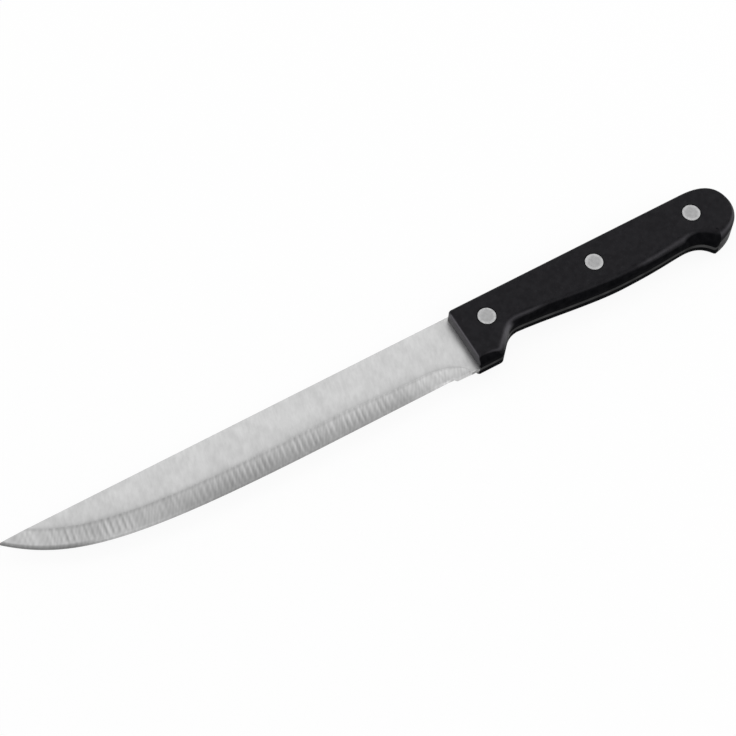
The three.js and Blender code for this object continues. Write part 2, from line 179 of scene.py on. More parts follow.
class Shell:
    """One closed piece, gathered from grids and flat faces and welded into a mesh at the end."""

    def __init__(self, *marks: str) -> None:
        """Starts with no points.

        Args:
            *marks: names of the numbers that each point carries for its finish.
        """
        self.names = marks
        self.points = np.zeros((0, 3))
        self.marks = np.zeros((0, len(marks)))
        self.triangles = np.zeros((0, 3), np.int64)
        self.zones = np.zeros(0)

    def _take(self, points: Floats, marks: Floats, triangles: Indices, zones: Floats) -> None:
        """Adds points with their marks, and triangles with a zone each.

        Args:
            points: the new points.
            marks: each new point's numbers for the finish to read.
            triangles: corners, counted in the new points.
            zones: the number that each new triangle carries.
        """
        self.triangles = np.concatenate([self.triangles, triangles + len(self.points)])
        self.zones = np.concatenate([self.zones, zones])
        self.points = np.concatenate([self.points, points])
        self.marks = np.concatenate([self.marks, marks])

    def grid(
        self,
        points: Floats,
        closed: bool = False,
        zone: Floats | float = 0.0,
        marks: Floats | None = None,
    ) -> None:
        """Adds a surface given on a grid. It faces the eye that sees its columns run to the right
        and its rows run up.

        Args:
            points: rows by columns by three coordinates.
            closed: whether the last column joins the first.
            zone: the number that its triangles carry, one or one for each column.
            marks: rows by columns by the numbers for the finish to read.
        """
        rows, columns = points.shape[:2]
        index = np.arange(rows * columns).reshape(rows, columns)
        index = np.concatenate([index, index[:, :1]], axis=1) if closed else index
        a, b = index[:-1, :-1].ravel(), index[:-1, 1:].ravel()
        d, c = index[1:, :-1].ravel(), index[1:, 1:].ravel()
        triangles = np.concatenate([np.stack([a, b, c], axis=1), np.stack([a, c, d], axis=1)])
        zones = np.broadcast_to(zone, (rows, columns)).ravel()[triangles[:, 0]]
        count = len(self.names)
        marks = np.zeros((rows, columns, count)) if marks is None else marks
        self._take(points.reshape(-1, 3), marks.reshape(-1, count), triangles, zones)

    def flat(self, loops: list[Floats], height: float, side: Side) -> None:
        """Adds a flat face between an outline and round holes, as triangles.

        Args:
            loops: the outline, then the holes, each as plan points.
            height: the height of the face.
            side: whether it faces up or down.
        """
        plan = np.concatenate(loops)
        edges, start = [], 0
        for loop in loops:
            count = np.arange(len(loop))
            edges.append(np.stack([count, np.roll(count, -1)], axis=1) + start)
            start += len(loop)
        centred = (plan - plan.mean(axis=0)).tolist()
        found = delaunay_2d_cdt(centred, np.concatenate(edges).tolist(), [], INSIDE_ONLY, TINY)
        if len(found[0]) != len(plan):
            raise ValueError("a flat face's outline touches itself")
        triangles = np.array(found[2], np.int64)
        centres = plan[triangles].mean(axis=1)
        keep = np.ones(len(triangles), bool)
        for hole in loops[1:]:
            axis = hole.mean(axis=0)
            radius = np.linalg.norm(hole[0] - axis) * math.cos(math.pi / len(hole))
            keep &= np.linalg.norm(centres - axis, axis=1) > radius
        triangles = triangles[keep]
        a, b, c = (plan[triangles[:, i]] for i in range(3))
        turn = (leftward(b - a) * (c - a)).sum(axis=1)
        wrong = turn * side.value < 0.0
        triangles[wrong] = triangles[wrong][:, ::-1]
        unmarked = np.zeros((len(plan), len(self.names)))
        self._take(lifted(plan, height), unmarked, triangles, np.zeros(len(triangles)))

    def mirror(self) -> None:
        """Turns the shell into its mirror image in the middle plane of the steel."""
        self.points, self.triangles = self.points * MIRROR, self.triangles[:, ::-1]

    def join_mirrored(self) -> None:
        """Adds the shell's own mirror image in the middle plane of the steel."""
        self._take(self.points * MIRROR, self.marks, self.triangles[:, ::-1], self.zones)

    def mesh(self, name: str, crease: float, shift: Floats) -> bpy.types.Mesh:
        """Welds the points, drops the triangles that have shrunk to a line, and makes the mesh.

        Args:
            name: the mesh's name.
            crease: the angle in degrees from which an edge looks sharp.
            shift: what moves the drawing to the frame, in millimetres.

        Returns:
            The mesh, in metres, with its marks and zones as attributes.
        """
        places = np.round(self.points / WELD)
        _, first, same = np.unique(places, axis=0, return_index=True, return_inverse=True)
        corners = same.reshape(-1)[self.triangles]
        whole = (corners != np.roll(corners, -1, axis=1)).all(axis=1)
        points = (self.points[first] + shift) * METRES
        mesh = bpy.data.meshes.new(name)
        mesh.from_pydata(points.tolist(), [], corners[whole].tolist())
        carried = [(mark, "POINT", self.marks[first, i]) for i, mark in enumerate(self.names)]
        for mark, domain, values in (*carried, ("zone", "FACE", self.zones[whole])):
            attribute = mesh.attributes.new(mark, "FLOAT", domain)
            attribute.data.foreach_set("value", values.astype(np.float32))
        mesh.shade_smooth()
        mesh.set_sharp_from_angle(angle=math.radians(crease))
        mesh.update()
        return mesh


def place(mesh: bpy.types.Mesh, nodes: tuple[str, ...]) -> None:
    """Puts a mesh into the scene in place of its CAD nodes, riding on the knife.

    Args:
        mesh: the finished mesh, with its place in it.
        nodes: the CAD nodes that it stands for.
    """
    piece = bpy.data.objects.new(mesh.name, mesh)
    bpy.context.scene.collection.objects.link(piece)
    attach(piece, BODY)
    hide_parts(*nodes)
    LOG.info("%s: %d triangles, stands for %s", piece.name, len(mesh.polygons), ", ".join(nodes))


# Finishes


@dataclass(frozen=True)
class Grain:
    """Noise of a finish: grains to the metre along each axis, the turn about Z in degrees, the detail,
    and the shares of a shade that its low and its high values leave."""

    scale: Triple
    turn: float = 0.0
    detail: float = 3.0
    shares: Span = (1.0, 1.0)


class Recipe:
    """A material's nodes, added and joined by short calls."""

    def __init__(self, name: str) -> None:
        """Starts a material with a Principled shader.

        Args:
            name: the material's name.
        """
        self.material = bpy.data.materials.new(name)
        self.material.use_nodes = True
        self.tree = self.material.node_tree
        self.tree.nodes.clear()
        self.output = self.add("ShaderNodeOutputMaterial")
        self.shader = self.add("ShaderNodeBsdfPrincipled")
        self.tree.links.new(self.shader.outputs["BSDF"], self.output.inputs["Surface"])
        self.place = self.add("ShaderNodeTexCoord").outputs["Object"]

    def add(self, kind: str, settings: dict[str, Any] | None = None, **inputs: Any) -> bpy.types.Node:
        """Adds a node, sets its properties, and sets or joins its inputs.

        Args:
            kind: the node's type.
            settings: properties of the node.
            **inputs: input names, with a space written as an underscore, and a value or a socket.

        Returns:
            The node.
        """
        node = self.tree.nodes.new(kind)
        for name, value in (settings or {}).items():
            setattr(node, name, value)
        for name, value in inputs.items():
            self.feed(node.inputs[name.replace("_", " ")], value)
        return node

    def feed(self, socket: bpy.types.NodeSocket, value: Any) -> None:
        """Joins a socket to another one, or sets its own value.

        Args:
            socket: the input to feed.
            value: another node's output, or a plain value.
        """
        if isinstance(value, bpy.types.NodeSocket):
            self.tree.links.new(value, socket)
        else:
            socket.default_value = value

    def combine(self, kind: str, settings: dict[str, Any], inputs: dict[int, Any]) -> Any:
        """Adds a node whose inputs are known by their order.

        Args:
            kind: the node's type.
            settings: properties of the node.
            inputs: a value or a socket for each input's index.

        Returns:
            The node's first output.
        """
        node = self.add(kind, settings)
        for index, value in inputs.items():
            self.feed(node.inputs[index], value)
        return node.outputs[0]

    def times(self, first: Any, second: Any) -> Any:
        """The product of two values."""
        return self.combine("ShaderNodeMath", {"operation": "MULTIPLY"}, {0: first, 1: second})

    def larger(self, first: Any, second: Any) -> Any:
        """The larger of two values."""
        return self.combine("ShaderNodeMath", {"operation": "MAXIMUM"}, {0: first, 1: second})

    def blend(self, share: Any, first: Any, second: Any) -> Any:
        """Goes from the first number to the second as the share goes from 0 to 1."""
        return self.combine("ShaderNodeMix", {"data_type": "FLOAT"}, {0: share, 2: first, 3: second})

    def spread(self, value: Any, over: Span, onto: Span = WHOLE) -> Any:
        """Maps a value from the range that it is over onto another one, held at its ends."""
        ends = {"From_Min": over[0], "From_Max": over[1], "To_Min": onto[0], "To_Max": onto[1]}
        return self.add("ShaderNodeMapRange", Value=value, **ends).outputs["Result"]

    def noise(self, grain: Grain) -> Any:
        """Noise on Object coordinates, turned about Z and then stretched.

        Args:
            grain: how fine and how turned it is.

        Returns:
            The noise's value socket.
        """
        turn = (0.0, 0.0, math.radians(grain.turn))
        turned = self.add("ShaderNodeMapping", Vector=self.place, Rotation=turn).outputs[0]
        stretched = self.add("ShaderNodeMapping", Vector=turned, Scale=grain.scale).outputs[0]
        noise = self.add("ShaderNodeTexNoise", Vector=stretched, Scale=1.0, Detail=grain.detail)
        return noise.outputs["Fac"]

    def grained(self, shade: Any, noise: Any, grain: Grain) -> Any:
        """A shade times the shares that a grain's noise leaves of it."""
        return self.times(shade, self.spread(noise, CORE, grain.shares))

    def mark(self, name: str) -> Any:
        """A number that the mesh carries on its points or faces."""
        return self.add("ShaderNodeAttribute", {"attribute_name": name}).outputs["Fac"]

    def upward(self) -> Any:
        """How far the surface faces up: the height of its normal."""
        normal = self.add("ShaderNodeNewGeometry").outputs["Normal"]
        return self.add("ShaderNodeSeparateXYZ", Vector=normal).outputs["Z"]

    def tinted(self, value: Any, dark: Triple, light: Triple) -> Any:
        """A colour between two, by a value from 0 to 1.

        Args:
            value: the socket that picks the colour.
            dark: the colour at 0.
            light: the colour at 1.

        Returns:
            The colour socket.
        """
        ramp = self.add("ShaderNodeValToRGB", Fac=value)
        for element, colour in zip(ramp.color_ramp.elements, (dark, light)):
            element.color = (*colour, 1.0)
        return ramp.outputs["Color"]

    def bump(self, height: Any, relief: Pair) -> Any:
        """Fine relief from a height between 0 and 1, by its depth in metres and how much of it shows."""
        node = self.add("ShaderNodeBump", Height=height, Distance=relief[0], Strength=relief[1])
        return node.outputs["Normal"]

    def coat(self, **inputs: Any) -> bpy.types.Material:
        """Sets the Principled shader's sockets, with a space written as an underscore.

        Args:
            **inputs: socket names, and a value or a socket for each.

        Returns:
            The material.
        """
        for name, value in inputs.items():
            self.feed(self.shader.inputs[name.replace("_", " ")], value)
        return self.material


@dataclass(frozen=True)
class GroundSteel:
    """Satin stainless steel: mottled on the flats, coarser on the fluted bevel, with light and shade
    painted on the bevel and the tang's bare rim painted nearly black. A shade goes from the dark colour at
    0 to the light one at 1. Of the marks, tone is what a place has more than the flat shade, and
    flute, the flutes' painted light and shade with grinding ripples, is lightest at its high end."""

    dark: Triple = (0.03, 0.03, 0.03)
    light: Triple = (0.87, 0.87, 0.87)
    flat_shade: float = 0.605
    tang_painted_shades: Span = (0.01, 0.06)
    plain_gleam: Triple = (1.0, 1.0, 1.0)
    tang_painted_gleam: Triple = (0.42, 0.42, 0.42)
    blotches: Grain = Grain((170.0, 120.0, 170.0), -20.0, 4.0, (0.93, 1.05))
    specks: Grain = Grain((700.0, 300.0, 620.0), 25.0, 3.0, (0.94, 1.06))
    streaks: Grain = Grain((1400.0, 70.0, 400.0), 12.0, 5.0, (0.975, 1.025))
    scratches: Grain = Grain((5200.0, 150.0, 900.0), 10.0)
    painted_light_and_tone_range: Span = (-1.0, 0.5)
    painted_light_and_tone_shares: Span = (0.0, 1.5)
    flutes: Span = (-1.5, 1.5)
    flute_painted_shade_and_ripple_shares: Span = (0.64, 1.36)
    roughness: Span = (0.30, 0.44)
    relief: Pair = (0.00002, 0.25)

    def material(self) -> bpy.types.Material:
        """Makes the material.

        Returns:
            Steel whose shade follows cross-grind streaks, blotches, and the bevel's marks of painted light
            and shade.
        """
        recipe = Recipe("ground_steel")
        blotches, scratches = recipe.noise(self.blotches), recipe.noise(self.scratches)
        shade = recipe.grained(self.flat_shade, blotches, self.blotches)
        for grain in (self.specks, self.streaks):
            shade = recipe.grained(shade, recipe.noise(grain), grain)
        # The bevel's painted light and shade, and the flutes' painted light and shade with grinding
        # ripples
        shade = recipe.times(shade, recipe.spread(recipe.mark("tone"), self.painted_light_and_tone_range, self.painted_light_and_tone_shares))
        shade = recipe.times(shade, recipe.spread(recipe.mark("flute"), self.flutes, self.flute_painted_shade_and_ripple_shares))
        # The tang's rim is painted nearly black, in its colour and in the tint of its reflection: a
        # painted dark reflection
        zone = recipe.mark("zone")
        shade = recipe.blend(zone, shade, recipe.spread(blotches, CORE, self.tang_painted_shades))
        return recipe.coat(
            Metallic=1.0,
            Base_Color=recipe.tinted(shade, self.dark, self.light),
            Specular_Tint=recipe.tinted(zone, self.plain_gleam, self.tang_painted_gleam),
            Roughness=recipe.spread(scratches, WHOLE, self.roughness),
            Normal=recipe.bump(scratches, self.relief),
        )


@dataclass(frozen=True)
class MouldedPlastic:
    """Black moulded plastic with a fine matt grain and a little dust on what faces up, with painted shade
    on its sides and painted highlights along some edges. A shade goes from the dark colour at 0 to the
    light one at 1. Of the marks, wall is how much painted shade a side has, and sheen is 1 where a
    painted highlight shines, 0 along a bright edge and -1 along a dull one."""

    dark: Triple = (0.0028, 0.0028, 0.0034)
    light: Triple = (0.0200, 0.0200, 0.0220)
    gleam: Triple = (0.95, 0.91, 1.0)
    cloud: Grain = Grain((420.0, 420.0, 420.0), detail=5.0)
    grain: Grain = Grain((5200.0, 5200.0, 5200.0), detail=2.0)
    specks: Grain = Grain((1300.0, 1300.0, 1300.0), detail=2.0)
    dusty_specks: Span = (0.62, 0.78)
    dusty_facings: Span = (0.8, 0.98)
    dust: Span = (0.0, 0.5)
    face_shades: Span = (0.0, 0.16)
    wall_shades: Span = (0.05, 0.22)
    edge_walls: Span = (0.03, 0.14)
    steep_walls: Span = (0.2, 0.5)
    bright_painted_sheens: Span = (-1.0, 0.0)
    face_gloss: float = 0.15
    edge_painted_highlight_gloss: float = 0.40
    wall_gloss: float = 0.001
    painted_highlight_gloss: float = 1.0
    gloss_shares: Span = (0.88, 1.12)
    roughness: Span = (0.36, 0.50)
    relief: Pair = (0.00003, 0.3)

    def material(self) -> bpy.types.Material:
        """Makes the material.

        Returns:
            Plastic whose shade and gloss vary a little from place to place, with painted highlights where
            its face turns down and where its sheen is high, and painted shade, dull, on its dark sides.
        """
        recipe = Recipe("moulded_black_plastic")
        cloud, grain = recipe.noise(self.cloud), recipe.noise(self.grain)
        specks = recipe.spread(recipe.noise(self.specks), self.dusty_specks, self.dust)
        dust = recipe.times(specks, recipe.spread(recipe.upward(), self.dusty_facings))
        # Painted shade on the sides and painted highlights along edges, on the front and on the guard's
        # rear, set by gloss
        wall, sheen = recipe.mark("wall"), recipe.mark("sheen")
        bright = recipe.spread(sheen, self.bright_painted_sheens)
        edge = recipe.times(recipe.spread(wall, self.edge_walls), bright)
        steep = recipe.spread(wall, self.steep_walls)
        gloss = recipe.blend(edge, self.face_gloss, self.edge_painted_highlight_gloss)
        gloss = recipe.blend(steep, gloss, self.wall_gloss)
        gloss = recipe.blend(recipe.spread(sheen, WHOLE), gloss, self.painted_highlight_gloss)
        gloss = recipe.times(gloss, recipe.spread(cloud, INNER_CORE, self.gloss_shares))
        shade = recipe.blend(dust, recipe.spread(cloud, INNER_CORE, self.face_shades), 1.0)
        # The painted dark sides get a slightly lighter colour in place of their gloss
        shade = recipe.blend(steep, shade, recipe.spread(cloud, INNER_CORE, self.wall_shades))
        return recipe.coat(
            Base_Color=recipe.tinted(shade, self.dark, self.light),
            Roughness=recipe.spread(cloud, CORE, self.roughness),
            Specular_IOR_Level=gloss,
            Specular_Tint=(*self.gleam, 1.0),
            Normal=recipe.bump(grain, self.relief),
        )


@dataclass(frozen=True)
class RivetAluminium:
    """Ground aluminium of the rivet heads, painted lighter towards the rim as a painted highlight. The
    mark out goes from 0 on the axis to 1 at the edge.
    """

    dark: Triple = (0.25, 0.25, 0.251)
    light: Triple = (0.51, 0.51, 0.512)
    marks: Grain = Grain((900.0, 6000.0, 900.0), 35.0, 3.0, (0.8, 1.2))
    cloud: Grain = Grain((900.0, 900.0, 900.0), 0.0, 4.0, (0.7, 1.3))
    rim_places: Span = (0.62, 0.86)
    painted_rim_light_shades: Span = (0.42, 0.78)
    roughness: Span = (0.37, 0.49)
    relief: Pair = (0.00002, 0.2)

    def material(self) -> bpy.types.Material:
        """Makes the material.

        Returns:
            Aluminium with fine straight grinding marks, with a painted highlight that makes its rim
            lighter than its middle.
        """
        recipe = Recipe("rivet_aluminium")
        marks = recipe.noise(self.marks)
        # A painted highlight: the rim is painted lighter than the middle
        shade = recipe.spread(recipe.mark("out"), self.rim_places, self.painted_rim_light_shades)
        shade = recipe.grained(shade, marks, self.marks)
        shade = recipe.grained(shade, recipe.noise(self.cloud), self.cloud)
        return recipe.coat(
            Metallic=1.0,
            Base_Color=recipe.tinted(shade, self.dark, self.light),
            Roughness=recipe.spread(marks, WHOLE, self.roughness),
            Normal=recipe.bump(marks, self.relief),
        )


# Handle outline, shared by the scales and the tang


@dataclass(frozen=True)
class Stations:
    """Points round the handle, at one level or at several. Each belongs to a corner or a curve point,
    lies off it by a piece of a fillet's arc, and moves in by what the sides before and after it draw in.
    Arrays are levels by points, and places and normals have two coordinates after that."""

    corner: Floats
    arc: Floats
    before: Floats
    after: Floats
    round_before: Floats
    round_after: Floats

    @staticmethod
    def chained(parts: list["Stations"]) -> "Stations":
        """Chains parts one after the other, at as many levels as the part that has the most.

        Args:
            parts: the parts, in order.

        Returns:
            All their points.
        """
        levels = max(len(part.corner) for part in parts)

        def joined(name: str) -> Floats:
            """One array of all parts."""
            arrays = [getattr(part, name) for part in parts]
            return np.concatenate([np.broadcast_to(a, (levels, *a.shape[1:])) for a in arrays], axis=1)

        return Stations(*(joined(name) for name in Stations.__dataclass_fields__))

    def drawn_in(self, into: Floats, beyond: Floats) -> Floats:
        """Moves every point in from its two sides. A corner goes to where the two moved sides meet:
        the sum of the inward normals by the mean move, and their difference by half the difference.

        Args:
            into: the move in from the side before, levels by points.
            beyond: the move in from the side after, levels by points.

        Returns:
            Plan points, levels by points by two.
        """
        turn = (self.before * self.after).sum(axis=-1)
        apart = 1.0 - turn
        mean = (into + beyond) / 2.0 / (1.0 + turn)
        skew = np.where(apart > TINY, (into - beyond) / 2.0 / np.maximum(apart, TINY), 0.0)
        move = mean[..., None] * (self.before + self.after) + skew[..., None] * (self.before - self.after)
        return self.corner + self.arc + move


@dataclass(frozen=True)
class HandleOutline:
    """Outline of the handle: reaches back from its front, depths below the spine, pulls of its Bezier
    curves, edge roundings, and corner radii in plan."""

    front: float = 194.6
    length: float = 125.4
    heel_depth: float = 25.6
    front_slant: float = math.radians(1.2)
    guard_reach: float = 10.35
    grip_reach: float = 18.7
    grip_depth: float = 16.9
    grip_fillet: float = 4.0
    grip_slope: float = math.radians(3.0)
    grip_pull: float = 14.0
    swell_reach: float = 69.0
    swell_depth: float = 21.2
    swell_front_pull: float = 14.0
    swell_rear_pull: float = 20.0
    waist_reach: float = 99.8
    waist_depth: float = 20.1
    waist_pull: float = 7.0
    hook_hollow_pull: float = 6.5
    hook_reach: float = 110.2
    hook_depth: float = 25.5
    hook_angle: float = math.radians(55.0)
    hook_inner_pull: float = 3.0
    hook_outer_pull: float = 2.3
    butt_depth: float = 12.4
    butt_lower_pull: float = 10.3
    butt_upper_pull: float = 8.4
    butt_top_reach: float = 109.5
    butt_top_pull: float = 11.0
    front_round: float = 1.2
    guard_round: float = 3.2
    wall_round: float = 3.8
    grip_round: float = 3.8
    swell_round: float = 3.2
    waist_round: float = 4.6
    hook_inner_round: float = 5.2
    hook_outer_round: float = 3.8
    butt_round: float = 1.2
    top_round: float = 1.2
    top_corner: float = 1.7
    foot_corner: float = 0.9
    guard_corner: float = 2.4
    hook_corner: float = 1.1
    hook_room: float = 1.3
    corner_steps: int = 10
    curve_steps: int = 44

    @property
    def deepest_round(self) -> float:
        """The largest edge rounding."""
        return max(value for name, value in vars(self).items() if name.endswith("_round"))

    def at(self, reach: float, depth: float) -> Floats:
        """A plan point from its reach behind the handle's front and its depth below the spine."""
        return np.array([self.front + reach, -depth])

    @property
    def foot(self) -> Floats:
        """The lower corner of the handle's front."""
        return self.at(-self.heel_depth * math.tan(self.front_slant), self.heel_depth)

    @property
    def waist(self) -> Floats:
        """The shallowest point between the swell and the hook."""
        return self.at(self.waist_reach, self.waist_depth)

    @property
    def hook(self) -> Floats:
        """The point of the hook."""
        return self.at(self.hook_reach, self.hook_depth)

    @property
    def hook_inner_run(self) -> Floats:
        """The direction in which the hook's inner side runs out to its point."""
        return dipping(self.hook_angle)

    @property
    def heel_pulls(self) -> Floats:
        """Control points of the heel, the curve from the hook's point round to the butt.

        Returns:
            The four points, in order.
        """
        pull = self.hook + self.hook_outer_pull * ALONG
        lower = self.at(self.length, self.butt_depth + self.butt_lower_pull)
        return np.array([self.hook, pull, lower, self.at(self.length, self.butt_depth)])

    def heel_start(self, inner: Floats, outer: Floats) -> Floats:
        """Where the heel starts when both sides of the hook have drawn in: where the heel, drawn in
        along its normals, is as far from the line of the inner side as that side has drawn in.

        Args:
            inner: how far the hook's inner side has drawn in, for each level.
            outer: how far the heel has drawn in, for each level.

        Returns:
            The start on the heel's curve, from 0 to 1, for each level.
        """
        points, run = bezier(self.heel_pulls, WAY)
        inward = leftward(self.hook_inner_run)
        away, lean = (points - self.hook) @ inward, leftward(run) @ inward
        return np.array([np.interp(far, away + near * lean, WAY) for far, near in zip(inner, outer)])

    def filleted(self, point: Floats, came: Floats, goes: Floats, radius: float, rounds: Pair) -> Stations:
        """A corner with a fillet: an arc about the point that lies the radius in from both sides.

        Args:
            point: the corner, one or one for each level.
            came: the direction of the side before it.
            goes: the direction of the side after it, one or one for each level.
            radius: the fillet's radius.
            rounds: edge rounding of the side before and of the side after.

        Returns:
            The arc's stations, which all move in with the corner.
        """
        point, came, goes = np.broadcast_arrays(*(np.atleast_2d(value) for value in (point, came, goes)))
        before, after = leftward(unit(came))[:, None], leftward(unit(goes))[:, None]
        turn = (before * after).sum(axis=-1)
        swing = np.arctan2(before[..., 1], before[..., 0])
        swing = swing + np.arccos(turn) * np.linspace(0.0, 1.0, self.corner_steps + 1)
        inward = np.stack([np.cos(swing), np.sin(swing)], axis=-1)
        arc = radius * ((before + after) / (1.0 + turn)[..., None] - inward)
        corner, before, after = (np.broadcast_to(a, arc.shape) for a in (point[:, None], before, after))
        sizes = (np.full((1, self.corner_steps + 1), size) for size in rounds)
        return Stations(corner, arc, before, after, *sizes)

    def curved(
        self, pulls: Floats | list[Floats], rounds: Pair, start: Floats | float = 0.0, end: float = 1.0
    ) -> Stations:
        """A Bezier side whose edge rounding goes evenly from one size to another.

        Args:
            pulls: the curve's control points.
            rounds: edge rounding at its start and at its end.
            start: where on the curve it starts, one or one for each level.
            end: where on the curve it ends.

        Returns:
            The stations after the start.
        """
        share = (np.arange(self.curve_steps) + 1.0) / self.curve_steps
        first = np.atleast_1d(start)[:, None]
        points, run = bezier(np.array(pulls), first + (end - first) * share)
        normals = leftward(run)
        rounding = (rounds[0] + (rounds[1] - rounds[0]) * share)[None]
        return Stations(points, np.zeros_like(points), normals, normals, rounding, rounding)

    def grip(self) -> list[Stations]:
        """The guard's foot, its rear wall, the fillet behind it, the swell and the waist.

        Returns:
            The parts, in order.
        """
        guard, bend = self.at(self.guard_reach, self.heel_depth), self.at(self.grip_reach, self.grip_depth)
        wall, slope = unit(bend - guard), dipping(self.grip_slope)
        start = bend + self.grip_fillet * slope
        swell, waist = self.at(self.swell_reach, self.swell_depth), self.waist
        fillet = [bend - self.grip_fillet * wall, bend, start]
        front = [start, start + self.grip_pull * slope, swell - self.swell_front_pull * ALONG, swell]
        rear = [swell, swell + self.swell_rear_pull * ALONG, waist - self.waist_pull * ALONG, waist]
        return [
            self.filleted(guard, ALONG, wall, self.guard_corner, (self.guard_round, self.wall_round)),
            self.curved(fillet, (self.wall_round, self.grip_round)),
            self.curved(front, (self.grip_round, self.swell_round)),
            self.curved(rear, (self.swell_round, self.waist_round)),
        ]

    def hooked(self, start: Floats) -> list[Stations]:
        """The hollow, the hook and the heel. At each level the hook's corner is where the line of its
        inner side meets the heel's tangent at the heel's start. The curves beside it end short of it by
        the hook's room, which is in radii of the corner.

        Args:
            start: where the heel starts on its curve, for each level.

        Returns:
            The parts, in order.
        """
        inner = self.hook - self.hook_inner_pull * self.hook_inner_run
        room = self.hook_room * self.hook_corner
        hollow = np.array([self.waist, self.waist + self.hook_hollow_pull * ALONG, inner, self.hook])
        hollow_run, heel_run = (run_along(bezier(pulls, WAY)[0]) for pulls in (hollow, self.heel_pulls))
        hollow_end = np.interp(hollow_run[-1] - room, hollow_run, WAY)
        heel_first = np.interp(np.interp(start, WAY, heel_run) + room, heel_run, WAY)

        taken, goes = bezier(self.heel_pulls, start)
        inward = leftward(self.hook_inner_run)
        back = ((taken - self.hook) @ inward) / (goes @ inward)
        corner = taken - back[:, None] * goes
        rounds = (self.hook_inner_round, self.hook_outer_round)
        return [
            self.curved(hollow, (self.waist_round, self.hook_inner_round), end=hollow_end),
            self.filleted(corner, self.hook_inner_run, goes, self.hook_corner, rounds),
            self.curved(self.heel_pulls, (self.hook_outer_round, self.butt_round), start=heel_first),
        ]

    def stations(self, heel_start: Floats) -> tuple[Stations, Stations]:
        """The outline, counter-clockwise from the front's upper corner.

        Args:
            heel_start: where the heel starts on its curve, for each level.

        Returns:
            The front's two corners, and all that follows them round to the top line.
        """
        top, foot = self.at(0.0, 0.0), self.foot
        butt, end = self.at(self.length, self.butt_depth), self.at(self.butt_top_reach, 0.0)
        crown = [butt, butt + self.butt_upper_pull * UP, end + self.butt_top_pull * ALONG, end]
        front = [
            self.filleted(top, -ALONG, foot - top, self.top_corner, (self.top_round, self.front_round)),
            self.filleted(foot, foot - top, ALONG, self.foot_corner, (self.front_round, self.guard_round)),
        ]
        crowned = self.curved(crown, (self.butt_round, self.top_round))
        return Stations.chained(front), Stations.chained([*self.grip(), *self.hooked(heel_start), crowned])


# Pieces


@dataclass(frozen=True)
class RivetSizes:
    """Sizes of the rivets, and of the holes that they sit in. The lip is a share of the chamfer."""

    face: float = SCALE_FACE
    depth: float = 9.4
    reaches: tuple[float, ...] = (12.2, 62.1, 108.5)
    names: tuple[str, ...] = ("front", "middle", "rear")
    head_radius: float = 3.65
    head_thickness: float = 1.6
    tube_radius: float = 2.5
    pin_radius: float = 1.6
    pin_chamfer: float = 0.3
    tube_end_gap: float = 0.8
    bore_end_wall: float = 1.2
    pin_end_gap: float = 0.6
    head_clearance: float = 0.05
    tube_clearance: float = 0.06
    pin_clearance: float = 0.03
    seat_chamfer: float = 0.3
    seat_lip: float = 0.1
    sides: int = 72

    @property
    def hole_radius(self) -> float:
        """The radius of the holes for the tubes."""
        return self.tube_radius + self.tube_clearance

    @property
    def seat(self) -> float:
        """The height of the heads' undersides over the middle of the steel."""
        return self.face - self.head_thickness

    def axes(self, front: float) -> list[Floats]:
        """The rivets' axes in plan, from the x of the handle's front."""
        return [np.array([front + reach, -self.depth]) for reach in self.reaches]


